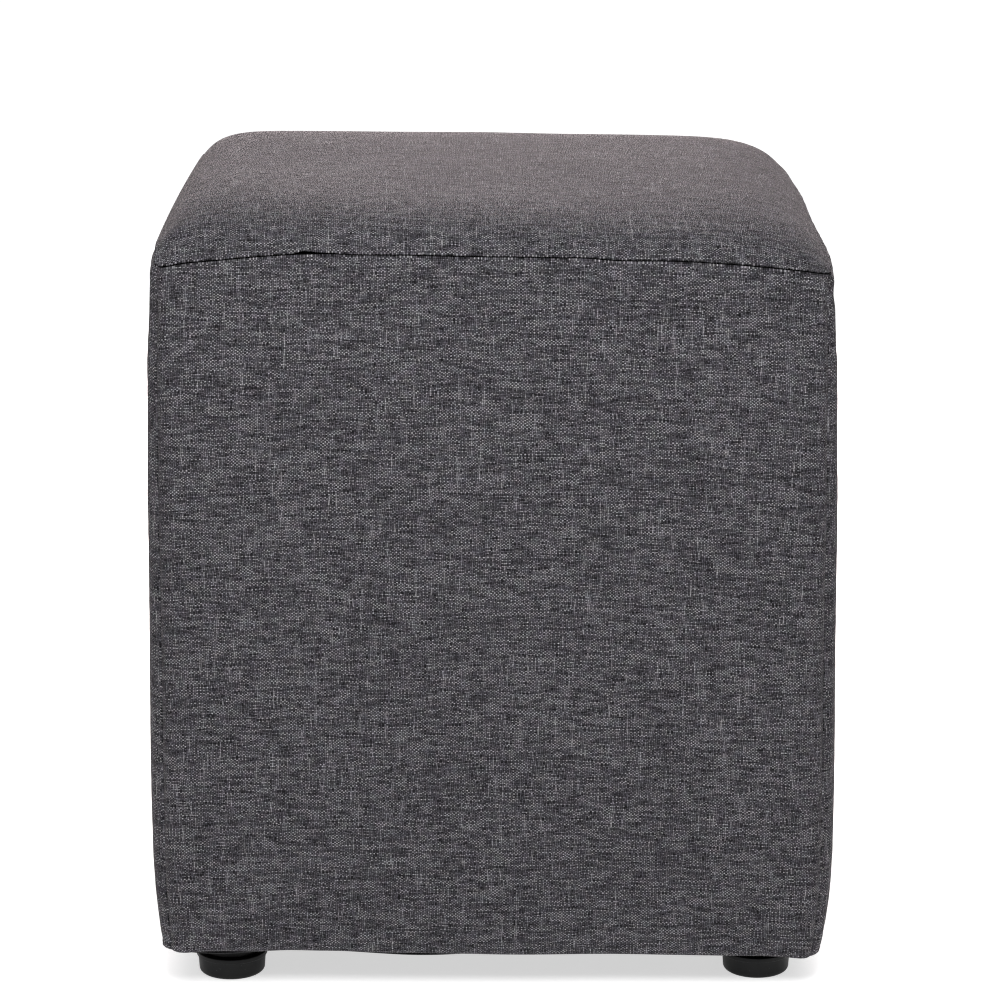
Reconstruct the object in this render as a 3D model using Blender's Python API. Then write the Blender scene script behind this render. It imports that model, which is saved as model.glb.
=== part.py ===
"""Cube pouf stool: four padded side panels and a crowned top panel of grey cloth, sewn edge to edge,
a thin black cloth under it and four short black feet.

Metres, +Z up.  The origin is on the floor under the middle of the stool, and the front faces -Y.
"""
import math

import bmesh
import bpy
from mathutils import Vector

# ---------------------------------------------------------------- driving dimensions

GAP = 0.0003              # clearance between neighbouring pieces

FOOT_OUT = 0.136          # from the middle of the stool to a foot's axis, along X and along Y
FOOT_TOP = 0.0184
CLOTH_BOTTOM = FOOT_TOP + GAP
CLOTH_THICK = 0.0015
CLOTH_HALF = 0.1585
CLOTH_CORNER = 0.006
CLOTH_SAG = 0.0025
CLOTH_SAG_REACH = 0.110
UNDERSIDE = CLOTH_BOTTOM + CLOTH_THICK + GAP

WALL_INNER = 0.1155       # half width of the hollow between the padded walls
FACE_BULGE = 0.0018       # how far a face swells between its corners
SEAM_GROOVE = 0.0018      # how deep a seam is drawn in
GROOVE_WIDTH = 0.2        # in steps of the corner parameter below

SEAM_LEVEL = 0.380        # nominal height of the top seam
SEAM_HALF = 0.1655
SEAM_CORNER = 0.0085
LIP_LEVEL = 0.0195        # nominal height of a side panel's lower edge

CROWN = 0.0193            # rise of the top panel from its seam to its middle
PAD_DEPTH = 0.022         # how far the top pad reaches down between the walls
PAD_STEPS = ((0.1155, 0.0), (0.1105, 0.15), (0.0850, 1.0))   # half width, share of PAD_DEPTH

# Side faces, going up: height, half width between the faces, radius of the upright corners.
PROFILE = (
    (0.0330, 0.1706, 0.0150),
    (0.0445, 0.1720, 0.0170),
    (0.0600, 0.1730, 0.0185),
    (0.0880, 0.1735, 0.0195),
    (0.1300, 0.1735, 0.0200),
    (0.1700, 0.1729, 0.0190),
    (0.2200, 0.1722, 0.0175),
    (0.2600, 0.1718, 0.0160),
    (0.3050, 0.1707, 0.0145),
    (0.3300, 0.1702, 0.0125),
    (0.3500, 0.1691, 0.0110),
    (0.3650, 0.1681, 0.0100),
    (0.3740, 0.1671, 0.0092),
)

# Lower edge of a side panel, from the underside out and up to the face:
# rise above the edge, half width, corner radius.
LIP = (
    (0.0010, 0.1612, 0.0057),
    (0.0000, 0.1640, 0.0085),
    (0.0018, 0.1676, 0.0120),
    (0.0065, 0.1693, 0.0137),
)
LIP_INNER = (0.1600, 0.0045)       # half width and corner radius where the lip leaves the underside

# The stool is not quite even.  At each corner: signs of X and Y, height that the top seam heads for,
# how far it dips below that, how far the dip reaches along X and along Y, height of the lower edge.
CORNERS = (
    (-1, -1, 0.3858, 0.0092, 0.075, 0.020, 0.0212),
    (1, -1, 0.3768, 0.0031, 0.050, 0.050, 0.0170),
    (-1, 1, 0.3782, 0.0005, 0.030, 0.030, 0.0200),
    (1, 1, 0.3768, 0.0040, 0.070, 0.070, 0.0185),
)
DIP_POWER = 1.6

# How squarely the crown meets each edge of the top panel: power and root.
EDGE_LEFT = (12.0, 0.92)
EDGE_RIGHT = (6.6, 0.92)
EDGE_FRONT = (4.9, 0.65)
EDGE_BACK = (7.5, 0.60)

# Places along a panel: 0 is its middle, 1 is where the corner starts to turn, 2 is the seam.
HALF_COLUMNS = (0.25, 0.50, 0.70, 0.84, 0.93, 1.0, 1.2, 1.5, 1.8, 2.0)
COLUMNS = tuple(-g for g in reversed(HALF_COLUMNS)) + (0.0,) + HALF_COLUMNS
SEAM_ANGLE = math.pi / 4

# Foot outline: radius, height.
FOOT_PROFILE = (
    (0.0, 0.0),
    (0.0148, 0.0),
    (0.0160, 0.0006),
    (0.0165, 0.0018),
    (0.0172, 0.0142),
    (0.0180, 0.0150),
    (0.0180, FOOT_TOP - 0.0006),
    (0.0174, FOOT_TOP),
    (0.0, FOOT_TOP),
)
FOOT_STEPS = 32

# Side panels: name, quarter turns from the front about +Z.
SIDES = (("front_panel", 0), ("right_panel", 1), ("back_panel", 2), ("left_panel", 3))

MITRE = GAP / math.sqrt(2)                 # set-back of each mitred edge, so that two lie GAP apart
GROOVE_IN = SEAM_GROOVE / math.sqrt(2)     # how far a seam lies in from each of its two faces


# ---------------------------------------------------------------- shape of the stool

def between_corners(x, y, column):
    """Value of one column of CORNERS at a place in plan, spread evenly between the four corners."""
    total = 0.0
    for corner in CORNERS:
        share_x = 0.5 * (1.0 + corner[0] * x / SEAM_HALF)
        share_y = 0.5 * (1.0 + corner[1] * y / SEAM_HALF)
        total += share_x * share_y * corner[column]
    return total


def seam_height(x, y):
    """Height of the top seam at a place in plan, with its dip at each corner."""
    height = between_corners(x, y, 2)
    for sign_x, sign_y, _, dip, reach_x, reach_y, _ in CORNERS:
        away_x = (x - sign_x * SEAM_HALF) / reach_x
        away_y = (y - sign_y * SEAM_HALF) / reach_y
        near = max(0.0, 1.0 - math.hypot(away_x, away_y))
        height -= dip * near ** DIP_POWER
    return height


def lip_height(x, y):
    """Height of the side panels' lower edge at a place in plan."""
    return between_corners(x, y, 6)


def plan_point(place, half, radius, bulge=0.0, groove=SEAM_GROOVE):
    """Across and outward distance of a point of a panel's outline, by its place along the panel."""
    side = math.copysign(1.0, place)
    flat = half - radius
    if abs(place) <= 1.0:
        return place * flat, half + bulge * (1.0 - place * place)
    angle = (abs(place) - 1.0) * SEAM_ANGLE
    across = flat + radius * math.sin(angle)
    outward = flat + radius * math.cos(angle)
    depth = max(0.0, 1.0 - (2.0 - abs(place)) / GROOVE_WIDTH)
    drawn_in = groove * depth / math.sqrt(2)
    return side * (across - drawn_in), outward - drawn_in


def turned(across, outward, height, quarter_turns):
    """World place of a point given across and outward of the front panel, turned to another side."""
    x, y = across, -outward
    for _ in range(quarter_turns):
        x, y = -y, x
    return Vector((x, y, height))


def seam_outline(place, bulge=0.0):
    """Across and outward distance of the top seam, in the bottom of its groove."""
    return plan_point(place, SEAM_HALF - GROOVE_IN, SEAM_CORNER - GROOVE_IN, bulge, groove=0.0)


def seam_point(place, quarter_turns):
    """World place of a point of the top seam, by its place along one side."""
    point = turned(*seam_outline(place, FACE_BULGE / 2), 0.0, quarter_turns)
    point.z = seam_height(point.x, point.y) - GROOVE_IN
    return point


# ---------------------------------------------------------------- helpers

def cloth_material(name, colour, roughness):
    material = bpy.data.materials.new(name)
    material.use_nodes = True
    shader = material.node_tree.nodes["Principled BSDF"]
    shader.inputs["Base Color"].default_value = (*colour, 1.0)
    shader.inputs["Roughness"].default_value = roughness
    shader.inputs["Metallic"].default_value = 0.0
    material.diffuse_color = (*colour, 1.0)
    return material


def add_object(name, bm, material, sharp_degrees=50.0):
    """Turn a finished bmesh into a named, smoothly shaded object."""
    bmesh.ops.recalc_face_normals(bm, faces=bm.faces)
    if bm.calc_volume(signed=True) < 0.0 and all(edge.is_manifold for edge in bm.edges):
        bmesh.ops.reverse_faces(bm, faces=bm.faces)
    mesh = bpy.data.meshes.new(name)
    bm.to_mesh(mesh)
    bm.free()
    mesh.shade_smooth()
    mesh.set_sharp_from_angle(angle=math.radians(sharp_degrees))
    mesh.materials.append(material)
    obj = bpy.data.objects.new(name, mesh)
    bpy.context.scene.collection.objects.link(obj)
    return obj


def of_kind(items, kind):
    return [item for item in items if isinstance(item, kind)]


def pattern_grid(columns, rows):
    """A flat grid whose points stand at whole numbers of columns and rows."""
    bm = bmesh.new()
    bmesh.ops.create_grid(bm, x_segments=columns, y_segments=rows, size=1.0)
    for vert in bm.verts:
        vert.co.x = round((vert.co.x + 1.0) / 2.0 * columns)
        vert.co.y = round((vert.co.y + 1.0) / 2.0 * rows)
    return bm


def step_down(bm, edges):
    """Extrude edges of a pattern down by one step; gives the new edges and faces."""
    extruded = bmesh.ops.extrude_edge_only(bm, edges=edges)["geom"]
    for vert in of_kind(extruded, bmesh.types.BMVert):
        vert.co.z -= 1.0
    lower = [edge for edge in of_kind(extruded, bmesh.types.BMEdge) if edge.is_boundary]
    return lower, of_kind(extruded, bmesh.types.BMFace)


def split_joint(bm, faces):
    """Split the faces of a joint the same way on both pieces, across their shorter diagonals."""
    bmesh.ops.triangulate(bm, faces=faces, quad_method="SHORT_EDGE")


# ---------------------------------------------------------------- pieces

def side_rows():
    """Rows of a side panel from the underside to the seam.

    Each is (part of the panel, height or rise, half width, corner radius)."""
    rows = [("under", UNDERSIDE, *LIP_INNER)]
    rows += [("lip", *line) for line in LIP]
    rows += [("face", *line) for line in PROFILE]
    rows.append(("seam", SEAM_LEVEL, SEAM_HALF, SEAM_CORNER))
    return rows


def side_point(row, place, quarter_turns):
    """World place of one point on the outer surface of a side panel."""
    part, level, half, radius = row
    if part == "seam":
        point = seam_point(place, quarter_turns)
        point.z -= GAP / 2
        return point
    swell = math.sin(math.pi * min(1.0, max(0.0, (level - LIP_LEVEL) / (SEAM_LEVEL - LIP_LEVEL))))
    bulge = FACE_BULGE * (swell if part == "face" else 0.0)
    across, outward = plan_point(place, half, radius, bulge)
    point = turned(across, outward, 0.0, quarter_turns)
    low = lip_height(point.x, point.y)
    if part == "under":
        point.z = level
    elif part == "lip":
        point.z = low + level
        if half < LIP[1][1]:
            point.z = min(point.z, UNDERSIDE)
    else:
        share = (level - LIP_LEVEL) / (SEAM_LEVEL - LIP_LEVEL)
        point.z = low + share * (seam_height(point.x, point.y) - low)
    return point


def set_back(point, place, quarter_turns):
    """Move a point on a mitred edge back along its own panel by MITRE."""
    if abs(place) < 2.0:
        return point
    return point - turned(math.copysign(MITRE, place), 0.0, 0.0, quarter_turns)


def side_pattern(columns, rows):
    """A closed pattern for a side panel: a grid above, its two ends stepped down to one flat face."""
    bm = pattern_grid(columns, rows)
    ends = [edge for edge in bm.edges if edge.is_boundary and edge.verts[0].co.y == edge.verts[1].co.y]
    joint = step_down(bm, ends)[1]
    at = {(round(v.co.x), round(v.co.y), round(v.co.z)): v for v in bm.verts}
    bm.faces.new([at[column, 0, -1] for column in range(columns + 1)]
                 + [at[column, rows, -1] for column in range(columns, -1, -1)])
    for column in (0, columns):
        bm.faces.new([at[column, row, 0] for row in range(rows + 1)]
                     + [at[column, rows, -1], at[column, 0, -1]])
    return bm, joint


def side_panel(name, quarter_turns, material):
    """A padded side panel: turned under below, mitred to its neighbours, level inside face."""
    rows = side_rows()
    bm, joint = side_pattern(len(COLUMNS) - 1, len(rows) - 1)
    edge = seam_outline(2.0)[0]
    for vert in bm.verts:
        row = rows[round(vert.co.y)]
        place = COLUMNS[round(vert.co.x)]
        point = side_point(row, place, quarter_turns)
        if vert.co.z < 0.0:
            across = seam_outline(place)[0] * WALL_INNER / edge
            inner = turned(across, WALL_INNER, 0.0, quarter_turns)
            point = Vector((inner.x, inner.y, point.z))
        vert.co = set_back(point, place, quarter_turns)
    split_joint(bm, joint)
    return add_object(name, bm, material)


def crown_rise(across, along):
    """Rise of the top panel above its seam, with both places running from -1 to 1."""
    power_x, root_x = EDGE_LEFT if across < 0.0 else EDGE_RIGHT
    power_y, root_y = EDGE_FRONT if along < 0.0 else EDGE_BACK
    rise_x = max(0.0, 1.0 - abs(across) ** power_x) ** root_x
    rise_y = max(0.0, 1.0 - abs(along) ** power_y) ** root_y
    return CROWN * rise_x * rise_y


def top_pattern(count):
    """A closed pattern for the top panel: a grid above, its rim stepped down and filled."""
    bm = pattern_grid(count, count)
    rim = [edge for edge in bm.edges if edge.is_boundary]
    rim, joint = step_down(bm, rim)
    for _ in PAD_STEPS[1:]:
        rim = step_down(bm, rim)[0]
    bmesh.ops.contextual_create(bm, geom=rim)
    return bm, joint


def side_of(across, along):
    """Side of the stool that a place of the top panel faces, and its share of the way along it."""
    ring = max(abs(across), abs(along))
    if abs(along) >= abs(across):
        return (0, across / ring) if along < 0.0 else (2, -across / ring)
    return (3, -along / ring) if across < 0.0 else (1, along / ring)


def top_panel(name, material):
    """The crowned top panel with its pad, which reaches down between the walls."""
    shares = [seam_outline(place)[0] / seam_outline(2.0)[0] for place in COLUMNS]
    bm, joint = top_pattern(len(COLUMNS) - 1)
    for vert in bm.verts:
        across = shares[round(vert.co.x)]
        along = shares[round(vert.co.y)]
        ring = max(abs(across), abs(along))
        if ring == 0.0:
            vert.co = Vector((0.0, 0.0, seam_height(0.0, 0.0) + CROWN))
            continue
        quarter_turns, share_along = side_of(across, along)
        rim = seam_point(place_at(share_along, shares), quarter_turns)
        rim.z += GAP / 2
        depth = -round(vert.co.z)
        if depth == 0:
            x, y = rim.x * ring, rim.y * ring
            groove = GROOVE_IN * ring ** 40
            vert.co = Vector((x, y, seam_height(x, y) - groove + GAP / 2 + crown_rise(across, along)))
        else:
            half, share_down = PAD_STEPS[depth - 1]
            inner = turned(share_along * half, half, 0.0, quarter_turns)
            inner.z = rim.z + share_down * (SEAM_LEVEL - PAD_DEPTH - rim.z)
            vert.co = inner
    split_joint(bm, joint)
    return add_object(name, bm, material)


def place_at(share, shares):
    """Place along a panel whose seam lies at a share of the way out to the corner."""
    for index in range(len(shares) - 1):
        low, high = shares[index], shares[index + 1]
        if share <= high + 1e-9:
            step = min(1.0, max(0.0, (share - low) / (high - low)))
            return COLUMNS[index] + step * (COLUMNS[index + 1] - COLUMNS[index])
    return COLUMNS[-1]


def bottom_cloth(name, material, steps=12):
    """The thin cloth stretched under the stool, sagging a little in its middle."""
    bm = bmesh.new()
    bmesh.ops.create_grid(bm, x_segments=steps, y_segments=steps, size=CLOTH_HALF)
    for vert in bm.verts:
        if abs(vert.co.x) > CLOTH_HALF - 1e-6 and abs(vert.co.y) > CLOTH_HALF - 1e-6:
            cut = CLOTH_CORNER * (1.0 - 1.0 / math.sqrt(2))
            vert.co.x -= math.copysign(cut, vert.co.x)
            vert.co.y -= math.copysign(cut, vert.co.y)
        near = max(0.0, 1.0 - (math.hypot(vert.co.x, vert.co.y) / CLOTH_SAG_REACH) ** 2)
        vert.co.z = CLOTH_BOTTOM - CLOTH_SAG * near * near
    obj = add_object(name, bm, material)
    solid = obj.modifiers.new("thickness", "SOLIDIFY")
    solid.thickness = CLOTH_THICK
    solid.offset = 1.0
    return obj


def foot(name, x, y, material):
    """A short turned foot with a flange under the cloth."""
    bm = bmesh.new()
    verts = [bm.verts.new((radius, 0.0, height)) for radius, height in FOOT_PROFILE]
    edges = [bm.edges.new(pair) for pair in zip(verts, verts[1:])]
    bmesh.ops.spin(bm, geom=verts + edges, axis=(0.0, 0.0, 1.0), cent=(0.0, 0.0, 0.0),
                   steps=FOOT_STEPS, angle=2.0 * math.pi)
    bmesh.ops.remove_doubles(bm, verts=bm.verts, dist=1e-5)
    bmesh.ops.dissolve_limit(bm, angle_limit=math.radians(0.5), verts=bm.verts, edges=bm.edges)
    obj = add_object(name, bm, material, sharp_degrees=40.0)
    obj.location = (x, y, 0.0)
    return obj


def build():
    for obj in list(bpy.data.objects):
        bpy.data.objects.remove(obj, do_unlink=True)
    grey = cloth_material("grey_cloth", (0.082, 0.079, 0.086), 0.95)
    black = cloth_material("black_cloth", (0.012, 0.012, 0.013), 0.90)
    plastic = cloth_material("black_plastic", (0.014, 0.014, 0.015), 0.45)
    for name, quarter_turns in SIDES:
        side_panel(name, quarter_turns, grey)
    top_panel("top_panel", grey)
    bottom_cloth("bottom_cloth", black)
    for depth_name, sign_y in (("front", -1), ("back", 1)):
        for side_name, sign_x in (("left", -1), ("right", 1)):
            foot(f"foot_{depth_name}_{side_name}", sign_x * FOOT_OUT, sign_y * FOOT_OUT, plastic)


build()
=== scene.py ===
"""Cube pouf stool in grey melange cloth, on a plain pale floor.

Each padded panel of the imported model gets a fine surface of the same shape, with rolled seams, a little
unevenness and a weave whose threads run with the cloth.  Metres, +Z up, and the front faces -Y.
"""

import math

import bpy
import numpy as np
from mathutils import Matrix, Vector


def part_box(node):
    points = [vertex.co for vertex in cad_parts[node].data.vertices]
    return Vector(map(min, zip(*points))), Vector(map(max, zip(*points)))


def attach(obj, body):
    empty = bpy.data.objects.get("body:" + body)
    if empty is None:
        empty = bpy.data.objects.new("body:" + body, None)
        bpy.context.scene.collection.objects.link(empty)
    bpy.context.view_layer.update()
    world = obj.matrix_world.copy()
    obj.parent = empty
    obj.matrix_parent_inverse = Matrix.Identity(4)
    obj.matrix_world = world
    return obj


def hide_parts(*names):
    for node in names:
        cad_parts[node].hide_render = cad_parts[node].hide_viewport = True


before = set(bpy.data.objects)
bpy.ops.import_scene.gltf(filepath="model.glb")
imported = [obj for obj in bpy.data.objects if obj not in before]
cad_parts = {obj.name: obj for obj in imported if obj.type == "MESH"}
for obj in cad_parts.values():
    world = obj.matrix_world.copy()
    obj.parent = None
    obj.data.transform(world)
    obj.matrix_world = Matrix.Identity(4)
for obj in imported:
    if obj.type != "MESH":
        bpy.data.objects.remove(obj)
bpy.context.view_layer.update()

# ---------------------------------------------------------------- sizes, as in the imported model

PIECE_GAP = 0.0003        # gap between pieces that touch
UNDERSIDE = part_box("bottom_cloth")[1].z + PIECE_GAP
WALL_INNER = 0.1155       # half width of the hollow between the padded walls
FACE_BULGE = 0.0018       # how far a face swells between its corners
SEAM_GROOVE = 0.0018      # how deep a seam is drawn in
GROOVE_IN = SEAM_GROOVE / math.sqrt(2)
SEAM_LEVEL = 0.380        # nominal height of the top seam
SEAM_HALF = 0.1667        # half width of the stool at its top seam
SEAM_CORNER = 0.0056      # corner radius there
LIP_LEVEL = 0.0195        # nominal height of a side panel's lower edge
CROWN = 0.0193            # rise of the top panel from its seam to its middle
PAD_DEPTH = 0.022         # how far the top pad reaches down between the walls
PAD_STEPS = ((0.1155, 0.0), (0.1105, 0.15), (0.0850, 1.0))   # half width, share of PAD_DEPTH
SEAM_ANGLE = math.pi / 4

# Side of the stool from its underside up to the top seam:
# nominal height, half width between the faces, radius of the upright corners.
PROFILE = np.array((
    (0.0205, 0.1600, 0.0045),
    (0.0205, 0.1614, 0.0059),
    (0.0195, 0.1643, 0.0088),
    (0.0213, 0.1676, 0.0120),
    (0.0260, 0.1695, 0.0138),
    (0.0330, 0.1706, 0.0150),
    (0.0445, 0.1720, 0.0170),
    (0.0600, 0.1730, 0.0185),
    (0.0880, 0.1735, 0.0195),
    (0.1300, 0.1735, 0.0200),
    (0.1700, 0.1729, 0.0190),
    (0.2200, 0.1722, 0.0175),
    (0.2600, 0.1718, 0.0160),
    (0.3050, 0.1707, 0.0145),
    (0.3300, 0.1702, 0.0125),
    (0.3500, 0.1691, 0.0110),
    (0.3650, 0.1687, 0.0100),
    (0.3740, 0.1682, 0.0080),
    (0.3800, 0.1667, 0.0056),
))

# The stool is not quite even.  At each corner: signs of X and Y, height that the top seam heads for,
# how far it dips below that, how far the dip reaches along X and along Y, height of the lower edge.
CORNERS = (
    (-1, -1, 0.3858, 0.0092, 0.075, 0.020, 0.0212),
    (1, -1, 0.3768, 0.0031, 0.050, 0.050, 0.0170),
    (-1, 1, 0.3782, 0.0005, 0.030, 0.030, 0.0200),
    (1, 1, 0.3768, 0.0040, 0.070, 0.070, 0.0185),
)
DIP_POWER = 1.6           # how sharply the top seam dips towards a corner

# Where the top seam runs a little higher or lower: X, Y, reach and lift.
SEAM_LIFTS = (
    (-0.150, -0.166, 0.010, 0.0006),
    (-0.088, -0.166, 0.018, 0.0004),
    (-0.079, -0.166, 0.008, 0.0005),
    (-0.040, -0.166, 0.035, 0.0013),
    (0.022, -0.166, 0.036, 0.0018),
    (0.045, -0.166, 0.011, 0.0008),
    (0.090, -0.166, 0.030, 0.0016),
    (0.166, -0.166, 0.012, -0.0003),
)

# The same for the lower edge.
HEM_LIFTS = (
    (-0.105, -0.166, 0.012, 0.0006),
    (-0.083, -0.166, 0.022, 0.0007),
    (0.010, -0.166, 0.030, -0.0005),
    (0.062, -0.166, 0.030, 0.0004),
    (0.160, -0.160, 0.012, -0.0013),
)

# How squarely the crown meets each edge of the top panel: power and root.
EDGE_LEFT = (17.0, 1.18)
EDGE_RIGHT = (12.0, 1.10)
EDGE_FRONT = (4.9, 0.65)
EDGE_BACK = (7.5, 0.66)
CROWN_LEAN = 0.09         # how much lower the crown is on the right, as a share

# How far the upper back corners are drawn in: sign of X, amount, Y where that starts.
DRAWN_IN = (
    (-1, 0.0023, -0.130),
    (1, 0.0028, 0.030),
)
DRAWN_FROM = 0.330        # height at which it starts
DRAWN_RISE = 0.040        # rise over which it grows to the full amount

# ---------------------------------------------------------------- fine detail

MESH_STEP = 0.0019        # spacing of a panel's points away from its seams
SEAM_STEP = 0.0004        # the same at a seam
HEM_STEP = 0.0009         # the same at the underside
STEP_GROWTH = 0.25        # how fast the spacing grows away from a seam
ROLL = 0.0008             # radius with which the cloth turns into the top seam
SIDE_ROLL = 0.0005        # the same at an upright seam
TURNS = np.radians((22.5, 45.0, 67.5, 90.0))
QUARTER = np.radians(np.linspace(0.0, 90.0, 7))     # steps of a foot's rounded edges
# Rows of the turn beyond these, and the rows inside the seam, get the seam's painted shade.
LIT_TURNS = 3             # rows of the turn that still face outwards
ALLOWANCE = (0.0020, 0.0060)   # depths of the rows inside a seam
JOG = 0.0005              # sideways step of an upright seam's last row: no light comes through
TOP_SEAM_GAP = 0.0005
GAP_WAVE = 0.00012        # unevenness of the top seam's width
SIDE_SEAM_GAP = 0.0003
GROOVE_REACH = 0.0032     # how far from a seam its groove shows on a side
RIM_REACH = 0.006         # the same on the top panel
GAP_REACH = 0.002         # how far from the seam its uneven width shows
TUCK = 0.003              # width of a side's inner end, over which it rises to the underside
HALF_ACROSS = 0.1693      # from the middle of a side panel to its seam, along the cloth
TOP_EDGE = SEAM_HALF - GROOVE_IN - (SEAM_CORNER - GROOVE_IN) * (1 - math.cos(SEAM_ANGLE))

DENT = 0.0005             # height of the broad unevenness of a face
DENT_FREE = 0.030         # how far from its seams a side starts to be uneven
TOP_DENT_FREE = 0.035     # the same on the top panel
DENT_WAVES = (0.26, 0.05)       # longest and shortest wave of that unevenness
PUCKER = 0.00012          # height of the ripples beside a seam
PUCKER_REACH = 0.005
PUCKER_WAVES = (0.030, 0.006)   # longest and shortest ripple beside the top seam
SIDE_WAVES = (0.045, 0.009)     # the same beside an upright seam
GAP_WAVES = (0.012, 0.003)      # the same for the top seam's width
PLAN_POWER = 8            # how close to its rim the top panel's plan becomes rounded

# The front top seam gapes a little: from X, widest at X, to X, and how far the top panel lifts there.
GAPE = (-0.0985, -0.0930, -0.0780, 0.0012)

# The padded cover stands a little to the left of its feet.
SHIFT = np.array((-0.00065, 0.0, 0.0))

# Places where the padding of a side stands out more, or less, than the profile:
# X, Y and Z, how far that reaches along X, Y and Z, and by how much.
SWELLS = (
    (0.169, -0.105, 0.378, 0.015, 0.085, 0.006, 0.0025),
    (0.169, 0.060, 0.376, 0.015, 0.070, 0.006, 0.0021),
    (0.168, -0.165, 0.3700, 0.030, 0.060, 0.010, -0.0010),
    (0.168, -0.160, 0.3735, 0.030, 0.025, 0.006, -0.0009),
    (0.168, -0.165, 0.345, 0.030, 0.080, 0.025, -0.0003),
    (-0.169, 0.005, 0.374, 0.015, 0.050, 0.008, 0.0011),
    (-0.168, -0.150, 0.366, 0.030, 0.035, 0.025, -0.0007),
    (-0.163, -0.163, 0.0195, 0.012, 0.012, 0.0030, 0.0037),
    (-0.165, -0.165, 0.023, 0.012, 0.012, 0.012, 0.0005),
    (0.168, -0.168, 0.030, 0.022, 0.022, 0.022, -0.0010),
    (0.163, -0.163, 0.0195, 0.012, 0.012, 0.0025, 0.0022),
)

# Where the black cloth below sags into view at the front edge: X, reach along it and drop.
EDGE_SAGS = (
    (-0.035, 0.037, 0.0031),
    (-0.140, 0.022, 0.0022),
    (0.135, 0.024, 0.0022),
)
EDGE_SAG_DEEP = 0.003     # how far in from the front edge that reaches

SHEET_POINTS = 121        # points along each edge of the black cloth
SHEET_CROWD = 1.6         # how much closer together they lie at its front
SHEET_THICKNESS = 0.0007
SHEET_LEVEL = 0.0008      # how far its middle layer lies below the top of the solid
SHEET_SAG = (0.11, 0.0022)      # radius and depth of the sag in its middle
SHEET_UNEVEN = 0.0002     # height of its broad unevenness

FOOT_STEPS = 96           # points round a foot
FOOT_CORNER = 0.0022      # radius at its lower edge
FOOT_BODY = 0.0170        # half width just above that
FOOT_TAPER = ((0.0173, 0.36), (0.0176, 0.47), (0.0177, 0.50))   # half width, share of the height
FOOT_LIP = 0.0005         # radius of the lip's two edges
LIP_WIDER = 1.02          # how much wider the lip is than the solid
LIP_SHARES = (0.53, 0.64)       # the lip's lower and upper edge, as shares of the height
FOOT_NECK = ((0.82, 0.65), (0.80, 1.0))     # shares of the half width and of the height

TOP_SEED = 900            # seeds of the random curves
SHEET_SEED = 77
WAVE_TERMS = (6, 2.4)     # sines in a random curve, and what their sum is divided by
DENT_TERMS = (9, 2.0)     # the same for the unevenness of a face
SPACING_STEPS = 4001      # places at which a changing spacing is worked out
SHARP_ANGLE = math.radians(50.0)    # edges sharper than this stay sharp

# Side panels: name, quarter turns from the front about +Z.
SIDES = (("front", 0), ("right", 1), ("back", 2), ("left", 3))
FEET = ("foot_front_left", "foot_front_right", "foot_back_left", "foot_back_right")


# ---------------------------------------------------------------- shape of the stool

def between_corners(x, y, column):
    """Value of one column of CORNERS at places in plan, spread evenly between the four corners."""
    total = 0.0
    for corner in CORNERS:
        total = total + (0.25 * (1.0 + corner[0] * x / SEAM_HALF)
                         * (1.0 + corner[1] * y / SEAM_HALF) * corner[column])
    return total


def seam_height(x, y):
    """Height of the top seam at places in plan, with its dip at each corner."""
    height = between_corners(x, y, 2)
    for sign_x, sign_y, _, dip, reach_x, reach_y, _ in CORNERS:
        away = np.hypot((x - sign_x * SEAM_HALF) / reach_x, (y - sign_y * SEAM_HALF) / reach_y)
        height = height - dip * np.maximum(0.0, 1.0 - away) ** DIP_POWER
    return height + lifted(x, y, SEAM_LIFTS)


def lifted(x, y, lifts):
    """Lift at places in plan, by one of the tables of lifts."""
    total = 0.0
    for at_x, at_y, reach, lift in lifts:
        total = total + lift * near(np.hypot(x - at_x, y - at_y), reach)
    return total


def smooth_curve(at, knots, values):
    """Rows of values on a smooth curve through given rows, at places along its knots."""
    slopes = np.gradient(values, knots, axis=0)
    step = np.clip(np.searchsorted(knots, at, side="right") - 1, 0, len(knots) - 2)
    width = (knots[step + 1] - knots[step])[:, None]
    s = (at - knots[step])[:, None] / width
    return (values[step] * (2 * s ** 3 - 3 * s ** 2 + 1) + slopes[step] * width * (s ** 3 - 2 * s ** 2 + s)
            + values[step + 1] * (3 * s ** 2 - 2 * s ** 3) + slopes[step + 1] * width * (s ** 3 - s ** 2))


def spaced(start, stop, fine_start, fine_stop):
    """Places from start to stop, MESH_STEP apart and closer together towards the two ends."""
    line = np.linspace(start, stop, SPACING_STEPS)
    gap = np.minimum(fine_start + STEP_GROWTH * (line - start), fine_stop + STEP_GROWTH * (stop - line))
    gap = np.minimum(gap, MESH_STEP)
    count = np.concatenate(([0.0], np.cumsum(np.diff(line) * 2 / (gap[1:] + gap[:-1]))))
    return np.interp(np.linspace(0.0, count[-1], round(count[-1]) + 1), count, line)


def outline(from_seam, half, radius, bulge):
    """Across and outward distance of a side's outline, and its turn from facing straight out.

    The place is a distance along the cloth from the corner seam."""
    arc = radius * SEAM_ANGLE
    flat = half - radius
    turn = SEAM_ANGLE * np.clip(1.0 - from_seam / arc, 0.0, 1.0)
    across = flat + radius * np.sin(turn) - np.maximum(0.0, from_seam - arc)
    swell = np.maximum(0.0, 1.0 - (across / flat) ** 2)
    return across, flat + radius * np.cos(turn) + bulge * swell, turn


def turned(across, outward, height, quarter_turns):
    """World places of points given across and outward of the front panel, turned to another side."""
    x, y = across, -outward
    for _ in range(quarter_turns):
        x, y = -y, x
    return np.stack(np.broadcast_arrays(x, y, height), axis=-1)


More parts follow.
